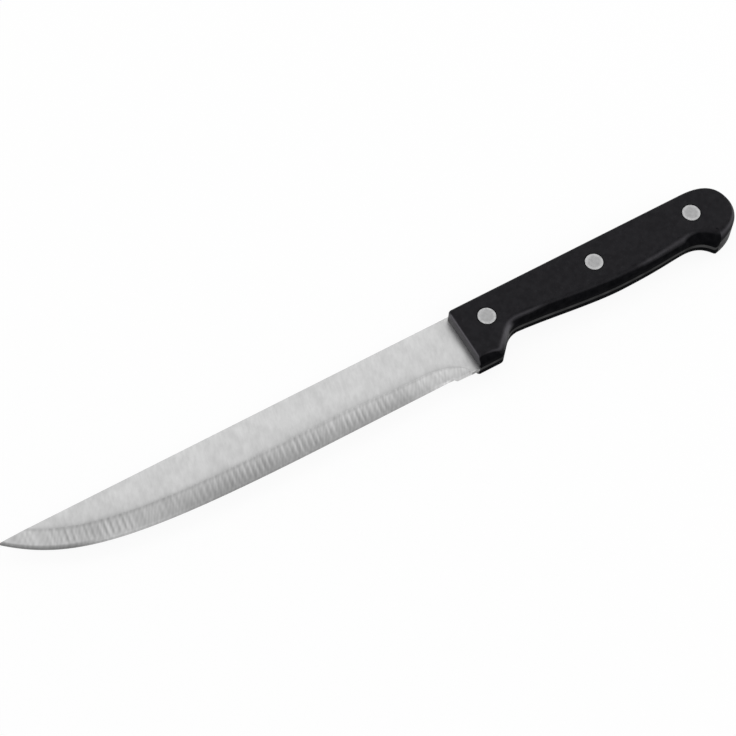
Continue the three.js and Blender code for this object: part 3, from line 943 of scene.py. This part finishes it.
@dataclass(frozen=True)
class BevelShade:
    """How strong the flutes are along the blade, and the light and shade painted on the bevel, with a
    darker strip of face above it. Along the blade a span is in millimetres from the tip, and up the bevel
    it is a share of its height. Each row of unevenness is a sine's share, length and phase, each row of
    ripples is a sine's rate along the blade, how far and how fast its phase wanders, and its rate up the
    bevel, and each row of painted_lifts is the painted light that it adds and the spans in which that sets
    in."""

    weakness: float = 0.6
    weak_rise: Span = (38.0, 52.0)
    weak_fall: Span = (90.0, 70.0)
    flute_rise: Span = (14.0, 24.0)
    flute_fall: Span = (168.0, 146.0)
    evenness: float = 0.74
    unevenness: tuple[Triple, ...] = ((0.16, 3.1, 1.0), (0.18, 1.13, 0.0))
    least: float = 0.2
    # The flutes' painted dark lines near the tip and painted light lines behind it
    painted_dark_lines: Span = (75.0, 45.0)
    line_peak: float = 1.6
    line_rest: float = 0.6
    belly_rise: Span = (0.05, 0.35)
    belly_fall: Span = (0.7, 0.95)
    belly_loss: float = 0.6
    ripple: float = 0.4
    ripples: tuple[tuple[float, ...], ...] = ((2.9, 2.0, 0.7, -0.9), (1.1, 1.5, 0.37, -1.3))
    base: float = 0.90
    # Painted light along the blade, and painted shade and painted highlights along its edge
    painted_lifts: tuple[tuple[float, Span], ...] = (
        (0.20, (26.0, 12.0)),
        (0.10, (80.0, 150.0)),
        (0.24, (150.0, 190.0)),
    )
    painted_edge_lifts: tuple[tuple[float, Span, Span], ...] = (
        (-0.5, (36.0, 20.0), (0.18, 0.05)),
        (0.16, (30.0, 45.0), (0.12, 0.0)),
    )
    # Painted shade towards the edge, and a painted dark line along the grind line
    painted_low_shade: float = 0.44
    low_rise: Span = (45.0, 85.0)
    low_fall: Span = (160.0, 180.0)
    low_ease: float = 0.5
    painted_top_line: float = 0.17
    top_line_ease: float = 0.07
    top_line_rise: Span = (0.82, 0.97)
    apron_line: float = 0.20
    apron_line_run: float = 0.8
    apron_wash: float = 0.11
    apron_flutes: float = 0.4

    def flutes(self, x: Floats, phase: Floats) -> tuple[Floats, Floats]:
        """The flutes along the edge: one less the cosine of the way along each flute. They are strong
        near the tip and behind the middle, weak between, uneven by two sines, and fade out to the tip
        and to the heel. Their painted shade is narrow dark lines near the tip, and narrow painted
        highlights behind it, the squares of the wave and of what it lacks.

        Args:
            x: the stations' distances from the tip.
            phase: how far along its flute each station is.

        Returns:
            How deep they are cut at each station, from 0 to 1, and the light and shade painted on it, from
            -1 to 1.
        """
        weak = self.weakness * smooth_step(x, self.weak_rise) * smooth_step(x, self.weak_fall)
        uneven = self.evenness + sum(s * np.sin(x / length + p) for s, length, p in self.unevenness)
        ends = smooth_step(x, self.flute_rise) * smooth_step(x, self.flute_fall)
        strength = (1.0 - weak) * np.clip(uneven, self.least, 1.0) * ends
        wave = 0.5 - 0.5 * np.cos(2.0 * np.pi * phase)
        lines = smooth_step(x, self.painted_dark_lines)
        dark = self.line_rest - self.line_peak * (1.0 - wave) ** 2
        light = self.line_peak * wave**2 - self.line_rest
        return wave * strength, (lines * dark + (1.0 - lines) * light) * strength

    def tone(self, x: Floats, up: Floats, flute: Floats) -> Floats:
        """How much painted light and shade the bevel has over the flat's shade. It is painted darkest
        along the middle of the blade and towards the edge and lighter at the tip and the heel, with a thin
        painted dark line at the top, darkest between the flutes, a painted dark line at the tip's edge and
        a painted highlight along the rest of the edge.

        Args:
            x: the stations' distances from the tip.
            up: how far up the bevel each point is, from 0 to 1, rows by stations.
            flute: how deep the flutes are cut at each station.

        Returns:
            The difference, 0 where the shades are the same.
        """
        along = self.base + sum(gain * smooth_step(x, run) for gain, run in self.painted_lifts)
        low = self.painted_low_shade * smooth_step(x, self.low_rise) * (1.0 - up)
        low = low * (1.0 - self.low_ease * smooth_step(x, self.low_fall))
        line = (self.painted_top_line - self.top_line_ease * flute) * smooth_step(up, self.top_line_rise)
        painted_lifts = (gain * smooth_step(x, run) * smooth_step(up, rise) for gain, run, rise in self.painted_edge_lifts)
        return along * (1.0 - low) * (1.0 - line) * (1.0 + sum(painted_lifts)) - 1.0

    def marks(self, x: Floats, up: Floats, tall: Floats, flute: Floats, shade: Floats) -> Floats:
        """The bevel's marks: its painted light and tone, and the flutes' painted shade on their bellies
        with uneven grinding marks over it, the product of two sines that lean against each other.

        Args:
            x: the stations' distances from the tip.
            up: how far up the bevel each point is, from 0 to 1, rows by stations.
            tall: the height of each point above the edge, rows by stations.
            flute: how deep the flutes are cut at each station.
            shade: how the flutes shade each station.

        Returns:
            Painted light and tone, and flute, rows by stations by two.
        """
        fading = 1.0 - self.belly_loss * smooth_step(up, self.belly_fall)
        belly = smooth_step(up, self.belly_rise) * fading
        sines = [
            np.sin(rate * x + wander * np.sin(drift * x) + rise * tall)
            for rate, wander, drift, rise in self.ripples
        ]
        ripples = self.ripple * np.prod(sines, axis=0)
        return np.stack([self.tone(x, up, flute), shade * belly + ripples], axis=-1)

    def apron_marks(self, above: Floats, share: Floats, shade: Floats) -> Floats:
        """The marks of the strip of face above the grind line: dark along the line by an exponential,
        darkened less and less up the strip, with the flutes' painted shade fading by a cube.

        Args:
            above: the height of each point above the grind line, rows by stations.
            share: how far up the strip each row is, from 0 to 1.
            shade: how the flutes shade each station.

        Returns:
            Tone and flute, rows by stations by two.
        """
        left = 1.0 - share
        tone = -self.apron_line * np.exp(-above / self.apron_line_run) - self.apron_wash * left
        return np.stack([tone, self.apron_flutes * shade * left**3], axis=-1)


@dataclass
class Blade:
    """Blade and tang, one piece of sheet steel ground on both sides to a fluted bevel."""

    outline: HandleOutline
    rivets: RivetSizes
    shade: BevelShade = BevelShade()
    half_stock: float = HALF_STOCK
    edge_depth: float = 24.6
    edge_end: float = 183.1
    heel_step: float = 0.9
    tip_drop: float = 0.6
    sweep_length: float = 130.0
    sweep_tip_angle: float = math.radians(42.7)
    sweep_tip_pull: float = 28.3
    sweep_edge_pull: float = 85.7
    sweep_samples: int = 3000
    bevel_height: float = 8.4
    bevel_heel_height: float = 7.0
    narrowing_start: float = 130.0
    runout_start: float = 172.0
    runout_end: float = 190.5
    cutting_height: float = 0.7
    cutting_thickness: float = 0.44
    edge_land: float = 0.08
    blunting: float = 3.0
    flute_pitch: float = 2.4
    flute_depth: float = 0.045
    flute_belly: float = 0.8
    flute_root: Span = (0.0, 0.3)
    flute_slant: float = math.radians(10.0)
    upright_run: float = 30.0
    flute_steps: int = 12
    heel_flutes: int = 4
    rows: int = 18
    apron: float = 6.0
    apron_share: float = 0.6
    apron_crowding: float = 1.5
    apron_rows: int = 10
    spine_steps: int = 120
    eased: float = 0.05
    easing_run: float = 6.0
    crease: float = 3.0

    def edge(self) -> tuple[Floats, Floats]:
        """The lower line of the bevel: a Bezier sweep from the tip and a straight cutting edge, cut
        into equal lengths so that whole flutes fit, then the step to the heel and the heel's line,
        with as many steps as its share of flutes has.

        Returns:
            Its plan points, and how far along its flute each one is, from 0 to 1.
        """
        tip = np.array([0.0, -self.tip_drop])
        straight = np.array([self.sweep_length, -self.edge_depth])
        tip_pull = tip + self.sweep_tip_pull * dipping(self.sweep_tip_angle)
        pulls = np.array([tip, tip_pull, straight - self.sweep_edge_pull * ALONG, straight])
        sweep, _ = bezier(pulls, np.linspace(0.0, 1.0, self.sweep_samples))
        dense = np.concatenate([sweep, [(self.edge_end, -self.edge_depth)]])
        run = run_along(dense)
        flutes = round(run[-1] / self.flute_pitch)
        count = np.arange(flutes * self.flute_steps + 1)
        at = run[-1] * count / count[-1]
        points = np.stack([np.interp(at, run, dense[:, i]) for i in range(2)], axis=1)
        heel_depth, steps = self.outline.heel_depth, self.heel_flutes * self.flute_steps
        heel_start = [self.edge_end + self.heel_step, -heel_depth]
        heel = np.linspace(heel_start, [self.runout_end, -heel_depth], steps)
        phase = np.concatenate([(count % self.flute_steps) / self.flute_steps, np.zeros(len(heel))])
        return np.concatenate([points, heel]), phase

    def bevel(self) -> tuple[Floats, Floats, Floats, Floats, int]:
        """The upper side of the bevel, as rows from the edge to the grind line by stations along the
        edge. Height over the middle plane falls evenly from the stock's face at the grind line to
        the cutting bevel. Each flute takes its depth from it, most in the middle of the bevel and
        none at the edge, and lifts the grind line where it meets the face. At the heel the grind
        line runs out along a quarter of an ellipse. The apron is the strip of face above it.

        Returns:
            The grid of points, its marks, the apron's grid, its marks, and the station from which
            the bevel leaves the spine.
        """
        edge, phase = self.edge()
        x, depth = edge[:, 0], -edge[:, 1]
        narrowing = smooth_step(x, (self.narrowing_start, self.runout_start))
        full = self.bevel_height + (self.bevel_heel_height - self.bevel_height) * narrowing
        drop = self.outline.heel_depth - self.edge_depth
        turn = np.clip((x - self.runout_start) / (self.runout_end - self.runout_start), 0.0, 1.0)
        height = (full + drop) * np.sqrt(1.0 - turn * turn) - drop
        height = height + np.maximum(depth - self.edge_depth, 0.0)
        slope = (self.half_stock - self.cutting_thickness / 2.0) / (full - self.cutting_height)
        spare = depth - height
        leaves = int(np.argmax(spare > 0.0))
        # The flutes' depth, and the light and shade painted on them
        flute, shade = self.shade.flutes(x, phase)
        top = np.where(spare > 0.0, height + self.flute_depth * flute / slope, depth)
        top[leaves] = depth[leaves]
        cut = np.minimum(self.cutting_height, top / 2.0)

        share = (0.5 - 0.5 * np.cos(np.linspace(0.0, np.pi, self.rows + 1)))[:, None]
        tall = np.concatenate([np.zeros((1, len(x))), cut + (top - cut) * share])
        up = np.clip((tall - cut) / np.maximum(height - cut, TINY), 0.0, 1.0)
        groove = self.flute_depth * flute * smooth_step(up, self.flute_root)
        groove = groove * (1.0 + self.flute_belly * 4.0 * up * (1.0 - up))
        z = np.minimum(self.half_stock - slope * (height - tall) - groove, self.half_stock)
        blunt = smooth_step(x, (self.edge_end - self.blunting, self.edge_end))
        z[0] = z[0] * blunt + self.edge_land / 2.0 * (1.0 - blunt)
        z[-1] = np.where(spare > 0.0, self.half_stock, z[-1])
        z[:, -1] = self.half_stock

        slanted = (self.edge_end, self.runout_start - self.upright_run)
        lean = math.tan(self.flute_slant) * smooth_step(x, slanted)
        strip = np.minimum(self.apron, self.apron_share * np.maximum(spare, 0.0)) * (1.0 - turn)
        strip[leaves] = 0.0
        share = np.linspace(0.0, 1.0, self.apron_rows + 1)[:, None]
        above = strip * share**self.apron_crowding
        # The painted light and shade of the bevel, and the darker strip above it
        marks = self.shade.marks(x, up, tall, flute, shade)
        apron_marks = self.shade.apron_marks(above, share, shade)
        bevel = lifted(np.stack([x + tall * lean, tall - depth], axis=-1), z)
        over = top + above
        apron = lifted(np.stack([x + over * lean, over - depth], axis=-1), self.half_stock)
        return bevel, marks, apron[:, leaves:], apron_marks[:, leaves:], leaves

    def build(self) -> Shell:
        """The whole blade: two bevels, two flat faces with rivet holes, and the rim between them.

        Returns:
            The closed shell.
        """
        bevel, marks, apron, apron_marks, leaves = self.bevel()
        _, behind = self.outline.stations(np.zeros(1))
        still = np.zeros(behind.round_before.shape)
        tang = behind.drawn_in(still, still)[0]
        tang_in = behind.drawn_in(still + 1.0, still + 1.0)[0] - tang
        foot, spine_end = self.outline.foot, bevel[-1, leaves]
        spine = np.linspace([foot[0], 0.0], spine_end[:2], self.spine_steps)[:-1]
        rim = np.concatenate([[foot], tang, spine])
        inward = np.concatenate([[UP], tang_in, np.tile(-UP, (len(spine), 1))])
        ease = self.eased * smooth_step(rim[:, 0], (spine_end[0], spine_end[0] + self.easing_run))
        face_line = rim + inward * ease[:, None]
        axes = self.rivets.axes(self.outline.front)
        bores = [circle(axis, self.rivets.hole_radius, self.rivets.sides) for axis in axes]

        shell = Shell("tone", "flute")
        shell.grid(bevel, marks=marks)
        shell.grid(apron, marks=apron_marks)
        shell.flat([np.concatenate([apron[-1, :, :2], face_line]), *bores], self.half_stock, Side.UPPER)
        low, high = lifted(rim, self.half_stock - ease), lifted(face_line, self.half_stock)
        paths = [np.concatenate([bevel[-1, -1:], line, [spine_end]]) for line in (low, high)]
        shell.grid(np.stack(paths), zone=self.zones(paths[0]))
        for bore in bores:
            ring = bore[::-1]
            shell.grid(np.stack([lifted(ring, 0.0), lifted(ring, self.half_stock)]), closed=True)
        shell.join_mirrored()
        loop = np.concatenate([bevel[0], low, bevel[-1, leaves::-1], bevel[-2:0:-1, 0]])
        shell.grid(np.stack([loop * MIRROR, loop]), closed=True, zone=self.zones(loop))
        return shell

    def zones(self, path: Floats) -> Floats:
        """Picks the rim's zone: the tang's painted dark reflection from the handle's front on, half of it
        on the heel before.

        Args:
            path: points along the rim.

        Returns:
            The zone after each point.
        """
        heel = (path[:, 0] >= self.runout_end - WELD) & (path[:, 1] < -self.edge_depth)
        tang = path[:, 0] >= self.outline.foot[0]
        return Zone.GROUND.value + (Zone.TANG.value - Zone.GROUND.value) * np.maximum(tang, heel / 2.0)


@dataclass(frozen=True)
class WallShade:
    """Painted shade and painted highlights on a scale's sides, round the handle, by how dark and how
    glossy they are. Each row of edges is a reach behind the handle's front, how much painted shade a side
    that faces down gets there as it steepens, and the painted sheen of its edge. A facing is how far a
    side faces down or back, from -1 to 1. What faces back, and the heel, is left pale as if lit: it
    darkens by a slope, up to a cap. The guard's rear gets a painted highlight in a band below the face."""

    edges: tuple[Triple, ...] = (
        (0.0, 4.0, -1.0),
        (10.0, 1.4, 0.0),
        (28.0, 1.6, 0.0),
        (36.0, 2.6, -1.0),
        (62.0, 2.2, -1.0),
        (75.0, 1.5, -1.0),
        (81.0, 1.2, 0.0),
        (99.0, 1.1, 0.0),
        (105.0, 4.0, -1.0),
    )
    down_facings: Span = (0.2, 0.5)
    back_facings: Span = (0.3, 0.65)
    heel_facings: Span = (-0.1, 0.3)
    heel_run: float = 2.0
    pale_slope: float = 0.9
    pale_cap: float = 0.46
    guard_facings: Span = (0.15, 0.5)
    guard_reaches: Span = (9.0, 15.5)
    guard_painted_sheen: float = 0.85
    guard_band_drop: float = 1.4
    guard_band_width: float = 0.75
    front_low_sheen: float = 0.7
    front_fade: float = 0.3

    def marks(
        self, outline: HandleOutline, stations: Stations, fronts: int, steep: Floats, tall: Floats
    ) -> Floats:
        """The painted shade and painted highlights of a scale's sides. The guard's painted highlight is a
        bell curve of the height. The front's painted sheen rises to its edge, fades out at the face, and
        goes over into the sides' round its corners.

        Args:
            outline: the scale's outline.
            stations: the points round it.
            fronts: how many of them are the front's.
            steep: how steep the scale is at each point, from 0 to 1, levels by points.
            tall: the height of each level, from the steel to the face.

        Returns:
            Wall and painted sheen, levels by points by two.
        """
        face = tall[-1]
        outward = -unit(stations.before + stations.after)
        back, down = outward[..., 0], -outward[..., 1]
        reach = stations.corner[..., 0] - outline.front
        reaches, slopes, painted_sheens = zip(*self.edges)
        heel = smooth_step(reach, (outline.hook_reach, outline.hook_reach + self.heel_run))
        below, behind = smooth_step(down, self.down_facings), smooth_step(back, self.back_facings)
        # Painted shade on what faces down, and pale painted light on what faces back and on the heel
        dark = steep * np.interp(reach, reaches, slopes) * below * (1.0 - behind) * (1.0 - heel)
        lit = np.maximum(heel * smooth_step(down, self.heel_facings), below * behind)
        wall = dark + np.minimum(steep * self.pale_slope, self.pale_cap) * lit

        rear = below * smooth_step(back, self.guard_facings) * smooth_step(reach, self.guard_reaches)
        band = np.exp(-(((face - tall - self.guard_band_drop) / self.guard_band_width) ** 2))
        sheen = np.interp(reach, reaches, painted_sheens) * (1.0 - np.maximum(heel, below * behind))
        sheen = sheen + self.guard_painted_sheen * rear * (1.0 - heel) * band[:, None]

        corner = np.linspace(0.0, 1.0, fronts // 2)
        fore = np.zeros(wall.shape)
        fore[:, :fronts] = np.concatenate([corner, corner[::-1]])
        rise = smooth_step(tall, (tall[0], face - outline.front_round))
        bright = self.front_low_sheen + (1.0 - self.front_low_sheen) * rise
        bright = bright * smooth_step(tall, (face, face - self.front_fade))
        return np.stack([wall * (1.0 - fore), sheen * (1.0 - fore) + fore * bright[:, None]], axis=-1)


@dataclass
class HandleScale:
    """One moulded scale: flat against the tang, rounded along its edges, with three rivet seats."""

    outline: HandleOutline
    rivets: RivetSizes
    side: Side
    shade: WallShade = WallShade()
    half_stock: float = HALF_STOCK
    face: float = SCALE_FACE
    seam: float = 0.1
    shoulder: float = 0.3
    levels: int = 18
    crease: float = 30.0

    def build(self) -> Shell:
        """The scale on the upper side: its outline at rising heights, each side drawn in by a
        quarter circle of its own rounding, closed by flat faces with the rivet seats.

        Returns:
            The closed shell, mirrored for the lower side.
        """
        rise = np.sin(np.linspace(0.0, np.pi / 2.0, self.levels + 1))
        heights = self.face - self.outline.deepest_round * (1.0 - rise)
        heights = np.concatenate([[self.half_stock + self.seam], heights])
        tall = np.concatenate([[self.half_stock], heights, [self.face]])

        def climb(rounding: Floats) -> Floats:
            """How far each level is above the start of a quarter circle."""
            return np.maximum(0.0, heights[:, None] - (self.face - rounding))

        def insets(rounding: Floats) -> Floats:
            """How far edges have drawn in: by the seam, the quarter circle and the shoulder.

            Args:
                rounding: the edges' roundings.

            Returns:
                The move in from each edge, levels by edges.
            """
            quarter = rounding - np.sqrt(np.maximum(0.0, rounding**2 - climb(rounding) ** 2))
            seam = np.full((1, len(rounding)), self.seam)
            return np.concatenate([seam, quarter, rounding[None] + self.shoulder])

        def upright(rounding: Floats) -> Floats:
            """How steep the edge is: 1 on the wall, and 0 where the quarter circle meets the face."""
            ends = np.ones((1, len(rounding)))
            return np.concatenate([ends, 1.0 - climb(rounding) / rounding, 0.0 * ends])

        hook = insets(np.array([self.outline.hook_inner_round, self.outline.hook_outer_round]))
        front, rest = self.outline.stations(self.outline.heel_start(hook[:, 0], hook[:, 1]))
        stations = Stations.chained([front, rest])
        before, after = stations.round_before[0], stations.round_after[0]
        rows = stations.drawn_in(insets(before), insets(after))
        steep = (upright(before) + upright(after)) / 2.0
        # The painted shade and painted highlights of the sides
        marks = self.shade.marks(self.outline, stations, front.corner.shape[1], steep, tall)

        shell = Shell("wall", "sheen")
        shell.grid(lifted(rows, tall[:, None]), closed=True, marks=marks)
        rings = [self.seat(shell, axis) for axis in self.rivets.axes(self.outline.front)]
        shell.flat([rows[-1], *(ring[-1] for ring in rings)], self.face, Side.UPPER)
        shell.flat([rows[0], *(ring[0] for ring in rings)], self.half_stock, Side.LOWER)
        if self.side is Side.LOWER:
            shell.mirror()
        return shell

    def seat(self, shell: Shell, axis: Floats) -> list[Floats]:
        """Adds a rivet's seat: the tube's hole, the step under the head, and a chamfered mouth.

        Args:
            shell: the scale's shell.
            axis: the rivet's axis in plan.

        Returns:
            The seat's rings in plan, from the tang to the face.
        """
        sizes = self.rivets
        head, mouth = sizes.head_radius + sizes.head_clearance, sizes.seat_chamfer
        lip = sizes.seat_lip * mouth
        profile = (
            (sizes.hole_radius, self.half_stock),
            (sizes.hole_radius, sizes.seat),
            (head, sizes.seat),
            (head, self.face - mouth),
            (head + mouth - lip, self.face - lip),
            (head + mouth, self.face),
        )
        rings = [circle(axis, radius, sizes.sides)[::-1] for radius, _ in profile]
        points = np.stack([lifted(ring, height) for ring, (_, height) in zip(rings, profile)])
        # Everything below the face is marked as a full wall: painted shade in the gap round the head
        inside = points[..., 2] < self.face
        shell.grid(points, closed=True, marks=np.stack([inside, np.zeros(inside.shape)], axis=-1))
        return rings


@dataclass
class Rivet:
    """One two-piece rivet: a socket half with a tube, and a pin half pressed into it."""

    sizes: RivetSizes
    axis: Floats
    dish: float = 0.05
    rim: float = 0.5
    chamfer: float = 0.15
    chamfer_steps: int = 4
    dish_steps: int = 8
    crease: float = 35.0

    def turned(self, profile: list[Pair]) -> Shell:
        """A profile of radius and height carried round the rivet's axis.

        Args:
            profile: radius and height, from the lowest point on the axis outwards and up.

        Returns:
            The closed shell.
        """
        radius, height = np.array(profile).T[..., None]
        ring = circle(np.zeros(2), 1.0, self.sizes.sides)
        points = lifted(self.axis + radius[..., None] * ring, height)
        out = np.broadcast_to(radius / self.sizes.head_radius, points.shape[:2])
        shell = Shell("out")
        shell.grid(points, closed=True, marks=out)
        return shell

    def head(self, sign: float) -> list[Pair]:
        """Profile of a head from its edge to its middle: a rounded chamfer, a narrow rim, and a shallow
        dish, whose depth is one less the fourth power of the way out from the axis.

        Args:
            sign: 1 for the upper head, -1 for the lower one.

        Returns:
            Radius and height, from the edge inwards.
        """
        radius = self.sizes.head_radius
        ease = np.linspace(0.0, np.pi / 2.0, self.chamfer_steps + 1)
        edge = (radius - self.chamfer * (1.0 - np.cos(ease)), self.chamfer * (1.0 - np.sin(ease)))
        out = np.linspace(1.0, 0.0, self.dish_steps + 1)
        bowl = ((radius - self.chamfer - self.rim) * out, self.dish * (1.0 - out**4))
        far, drop = np.concatenate([edge, bowl], axis=1)
        return list(zip(far.tolist(), (sign * (self.sizes.face - drop)).tolist()))

    def socket(self) -> Shell:
        """The half with its head on the upper scale and a tube with a blind bore.

        Returns:
            The closed shell.
        """
        sizes, tube = self.sizes, self.sizes.tube_radius
        bore, end = sizes.pin_radius + sizes.pin_clearance, sizes.seat - sizes.bore_end_wall
        foot = sizes.tube_end_gap - sizes.seat
        stem = [(0.0, end), (bore, end), (bore, foot), (tube, foot), (tube, sizes.seat)]
        return self.turned([*stem, (sizes.head_radius, sizes.seat), *self.head(1.0)])

    def pin(self) -> Shell:
        """The half with its head on the lower scale and a pin that fills the bore.

        Returns:
            The closed shell.
        """
        sizes, pin = self.sizes, self.sizes.pin_radius
        end = sizes.seat - sizes.bore_end_wall - sizes.pin_end_gap
        point = [(pin, end - sizes.pin_chamfer), (pin - sizes.pin_chamfer, end), (0.0, end)]
        return self.turned(
            [*self.head(-1.0)[::-1], (sizes.head_radius, -sizes.seat), (pin, -sizes.seat), *point]
        )


@dataclass
class Knife:
    """The whole knife: blade, two scales and three rivets, built and dressed in order. The lower scale's
    edges are rounded less than the upper one's."""

    outline: HandleOutline = HandleOutline()
    under: HandleOutline = HandleOutline(
        wall_round=1.8, waist_round=4.2, hook_inner_round=4.2, hook_outer_round=2.4
    )
    rivets: RivetSizes = RivetSizes()
    overall: float = 320.0
    face: float = SCALE_FACE

    def build(self) -> None:
        """Builds every piece, puts it in place of its CAD node and gives it its finish."""
        steel, plastic = GroundSteel().material(), MouldedPlastic().material()
        aluminium = RivetAluminium().material()
        blade = Blade(self.outline, self.rivets)
        self.dress(blade.build(), "ground_blade", blade.crease, "blade", steel)
        left = HandleScale(self.outline, self.rivets, Side.UPPER)
        right = HandleScale(self.under, self.rivets, Side.LOWER)
        for scale, node in ((left, "left_scale"), (right, "right_scale")):
            self.dress(scale.build(), f"moulded_{node}", scale.crease, node, plastic)
        for name, axis in zip(self.rivets.names, self.rivets.axes(self.outline.front)):
            rivet = Rivet(self.rivets, axis)
            for half, shell in (("socket", rivet.socket()), ("pin", rivet.pin())):
                node = f"{name}_rivet_{half}"
                self.dress(shell, f"turned_{node}", rivet.crease, node, aluminium)

    def dress(
        self, shell: Shell, name: str, crease: float, node: str, finish: bpy.types.Material
    ) -> None:
        """Makes one piece from its shell, with the frame's origin under the middle of the knife.

        Args:
            shell: the piece's shape.
            name: the piece's name.
            crease: the angle in degrees from which its edges look sharp.
            node: the CAD node that it stands for.
            finish: its material.
        """
        shift = np.array([-self.overall / 2.0, self.outline.heel_depth / 2.0, self.face])
        mesh = shell.mesh(name, crease, shift)
        mesh.materials.append(finish)
        place(mesh, (node,))


# Studio


@dataclass(frozen=True)
class SoftBox:
    """A rectangular soft light: its direction and distance from the knife, its size and its power."""

    name: str
    toward: Triple
    distance: float
    size: Pair
    power: float

    def build(self) -> None:
        """Hangs the light in its direction from the knife, facing the knife."""
        lamp = bpy.data.lights.new(self.name, "AREA")
        lamp.shape = "RECTANGLE"
        lamp.size, lamp.size_y = self.size
        lamp.energy = self.power
        light = bpy.data.objects.new(self.name, lamp)
        out = Vector(self.toward).normalized()
        light.rotation_euler = out.to_track_quat("Z", "Y").to_euler()
        light.location = out * self.distance
        bpy.context.scene.collection.objects.link(light)


@dataclass(frozen=True)
class Studio:
    """White floor, soft light and the camera at the photograph's angle."""

    camera_place: Triple = (-0.31597, -0.40827, 0.94002)
    azimuth: float = math.radians(-36.855)
    elevation: float = math.radians(60.81)
    roll: float = math.radians(-6.457)
    lens: float = 136.30
    sensor: float = 36.0
    white: tuple[float, ...] = (1.0, 1.0, 1.0, 1.0)
    floor_reach: float = 4.0
    floor_level: float = -2e-5
    floor_colour: tuple[float, ...] = (0.95, 0.95, 0.95, 1.0)
    floor_roughness: float = 0.9
    shadow_share: float = 0.09
    world_light: float = 0.52
    boxes: tuple[SoftBox, ...] = (
        SoftBox("overhead_box", (0.18, 0.46, 0.85), 1.42, (1.9, 0.78), 4.0),
        SoftBox("right_box", (0.907, -0.20, 0.40), 1.2, (1.3, 0.9), 4.8),
        SoftBox("left_box", (-0.80, 0.42, 0.42), 1.2, (0.8, 0.5), 2.4),
        SoftBox("front_box", (0.20, -0.50, 0.85), 1.4, (0.9, 0.8), 3.0),
        SoftBox("back_box", (0.20, 0.93, 0.32), 1.3, (1.4, 0.5), 2.0),
    )

    def build(self) -> None:
        """Makes the camera, the floor, the world and the lights."""
        self.hang_camera()
        self.lay_floor()
        world = bpy.data.worlds.new("studio_white")
        world.use_nodes = True
        background = world.node_tree.nodes["Background"]
        background.inputs["Color"].default_value = self.white
        background.inputs["Strength"].default_value = self.world_light
        bpy.context.scene.world = world
        for box in self.boxes:
            box.build()
        bpy.context.scene.view_settings.view_transform = "Standard"

    def hang_camera(self) -> None:
        """Turns the camera by azimuth and elevation about the knife, then by its roll."""
        a, e, r = self.azimuth, self.elevation, self.roll
        back = Vector((math.sin(a) * math.cos(e), -math.cos(a) * math.cos(e), math.sin(e)))
        level = Vector((math.cos(a), math.sin(a), 0.0))
        up = back.cross(level)
        right = math.cos(r) * level - math.sin(r) * up
        upright = math.sin(r) * level + math.cos(r) * up
        turn = Matrix((right, upright, back)).transposed().to_4x4()
        data = bpy.data.cameras.new("photo_camera")
        data.sensor_width, data.lens = self.sensor, self.lens
        camera = bpy.data.objects.new("photo_camera", data)
        camera.matrix_world = Matrix.Translation(self.camera_place) @ turn
        bpy.context.scene.collection.objects.link(camera)
        bpy.context.scene.camera = camera

    def lay_floor(self) -> None:
        """Lays a white floor just under the knife. Seen directly or in a reflection it is mostly
        plain white, with a share of its lit colour so that the knife's shadow stays."""
        reach = self.floor_reach
        mesh = bpy.data.meshes.new("studio_floor")
        square = ((-reach, -reach), (reach, -reach), (reach, reach), (-reach, reach))
        mesh.from_pydata([(x, y, self.floor_level) for x, y in square], [], [(0, 1, 2, 3)])
        recipe = Recipe("white_floor")
        recipe.coat(Base_Color=self.floor_colour, Roughness=self.floor_roughness, Specular_IOR_Level=0.0)
        rays = recipe.add("ShaderNodeLightPath").outputs
        seen = rays["Is Camera Ray"]
        for kind in ("Is Glossy Ray", "Is Transmission Ray"):
            seen = recipe.larger(seen, rays[kind])
        share = recipe.times(seen, 1.0 - self.shadow_share)
        plain = recipe.add("ShaderNodeEmission", Color=self.white, Strength=1.0).outputs["Emission"]
        lit = recipe.shader.outputs["BSDF"]
        mixed = recipe.combine("ShaderNodeMixShader", {}, {0: share, 1: lit, 2: plain})
        recipe.feed(recipe.output.inputs["Surface"], mixed)
        mesh.materials.append(recipe.material)
        floor = bpy.data.objects.new("studio_floor", mesh)
        bpy.context.scene.collection.objects.link(floor)


def main() -> None:
    """Builds the studio and the knife, and logs each piece's triangle count."""
    logging.basicConfig(level=logging.INFO, format="%(name)s: %(message)s")
    Studio().build()
    Knife().build()


if __name__ == "__main__":
    main()
